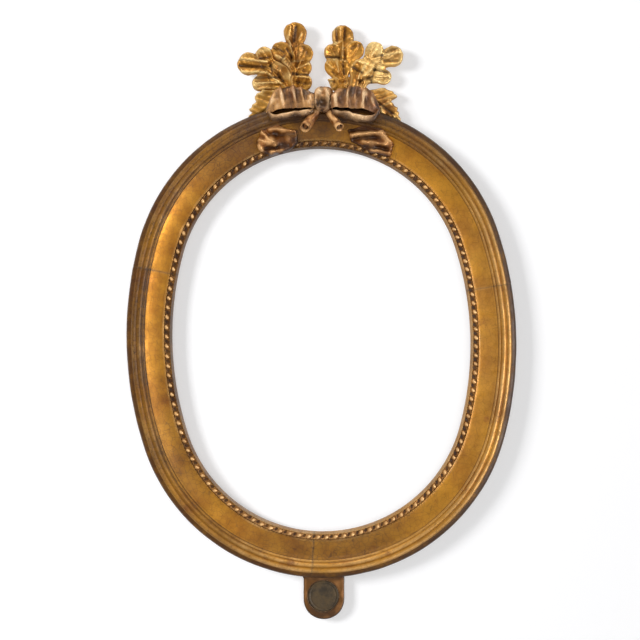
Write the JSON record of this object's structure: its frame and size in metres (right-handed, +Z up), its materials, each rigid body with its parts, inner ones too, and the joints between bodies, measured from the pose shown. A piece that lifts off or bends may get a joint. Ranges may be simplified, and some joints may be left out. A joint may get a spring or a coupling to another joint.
{
  "type": "oval picture frame",
  "caption": "Oval giltwood picture frame with a reeded moulding, a pearled sight edge, an oak-leaf and ribbon-bow crest, turn buttons for the picture and a hanging ring behind.",
  "frame": {"origin": "hanging point: on the wall plane, behind the hinge of the hanging ring", "axes": "+Z up along the frame's height, -Y out of the wall towards the viewer, +X to the viewer's right"},
  "size_m": [0.3513, 0.04, 0.5366],
  "materials": {
    "gilt_wood": "water-gilded wood over red bole, toned and rubbed",
    "gilt_pearls": "water-gilded wood, dark in the hollows",
    "bright_gilding": "water-gilded wood, bright on the leaves",
    "rubbed_gilding": "gilded wood, rubbed down to bole and gesso",
    "bare_wood": "bare aged wood",
    "dark_disc": "dark stained and waxed",
    "forged_iron": "hand-forged, dark oxide",
    "turn_brass": "aged rolled brass"
  },
  "bodies": {
    "frame": {"ring_upper_right": "gilt_wood", "ring_upper_left": "gilt_wood", "ring_lower_left": "gilt_wood", "ring_lower_right": "gilt_wood", "pearls_upper_right": "gilt_pearls", "pearls_upper_left": "gilt_pearls", "pearls_lower_left": "gilt_pearls", "pearls_lower_right": "gilt_pearls", "joint_tongues": "bare_wood", "oak_spray_left": "bright_gilding", "oak_spray_right": "bright_gilding", "bow_knot": "rubbed_gilding", "bow_loop_left": "rubbed_gilding", "bow_loop_right": "rubbed_gilding", "branch_stem_left": "bright_gilding", "branch_stem_right": "bright_gilding", "ribbon_tail_left": "rubbed_gilding", "ribbon_tail_right": "rubbed_gilding", "crest_tenons": "bare_wood", "tab": "gilt_wood", "tab_disc": "dark_disc", "cut_nails": "forged_iron", "hanger_strap": "forged_iron", "button_screws": "turn_brass"},
    "hanging_ring": {"hanging_ring": "forged_iron"},
    "turn_button_upper_right": {"turn_button_upper_right": "turn_brass"},
    "turn_button_upper_left": {"turn_button_upper_left": "turn_brass"},
    "turn_button_lower_left": {"turn_button_lower_left": "turn_brass"},
    "turn_button_lower_right": {"turn_button_lower_right": "turn_brass"}
  },
  "joints": [
    {"name": "hanging_ring_swing", "type": "hinge", "parent": "frame", "child": "hanging_ring", "pos_m": [0, -0.00361, 0], "axis": [1, 0, 0], "range_deg": [0, 180]},
    {"name": "turn_button_upper_right_turn", "type": "hinge", "parent": "frame", "child": "turn_button_upper_right", "pos_m": [0.11187, -0.00265, -0.06173], "axis": [0, -1, 0], "range_deg": [0, 90]},
    {"name": "turn_button_upper_left_turn", "type": "hinge", "parent": "frame", "child": "turn_button_upper_left", "pos_m": [-0.12147, -0.00265, -0.06824], "axis": [0, 1, 0], "range_deg": [0, 90]},
    {"name": "turn_button_lower_left_turn", "type": "hinge", "parent": "frame", "child": "turn_button_lower_left", "pos_m": [-0.11387, -0.00265, -0.34007], "axis": [0, -1, 0], "range_deg": [0, 90]},
    {"name": "turn_button_lower_right_turn", "type": "hinge", "parent": "frame", "child": "turn_button_lower_right", "pos_m": [0.11947, -0.00265, -0.33356], "axis": [0, 1, 0], "range_deg": [0, 90]}
  ]
}
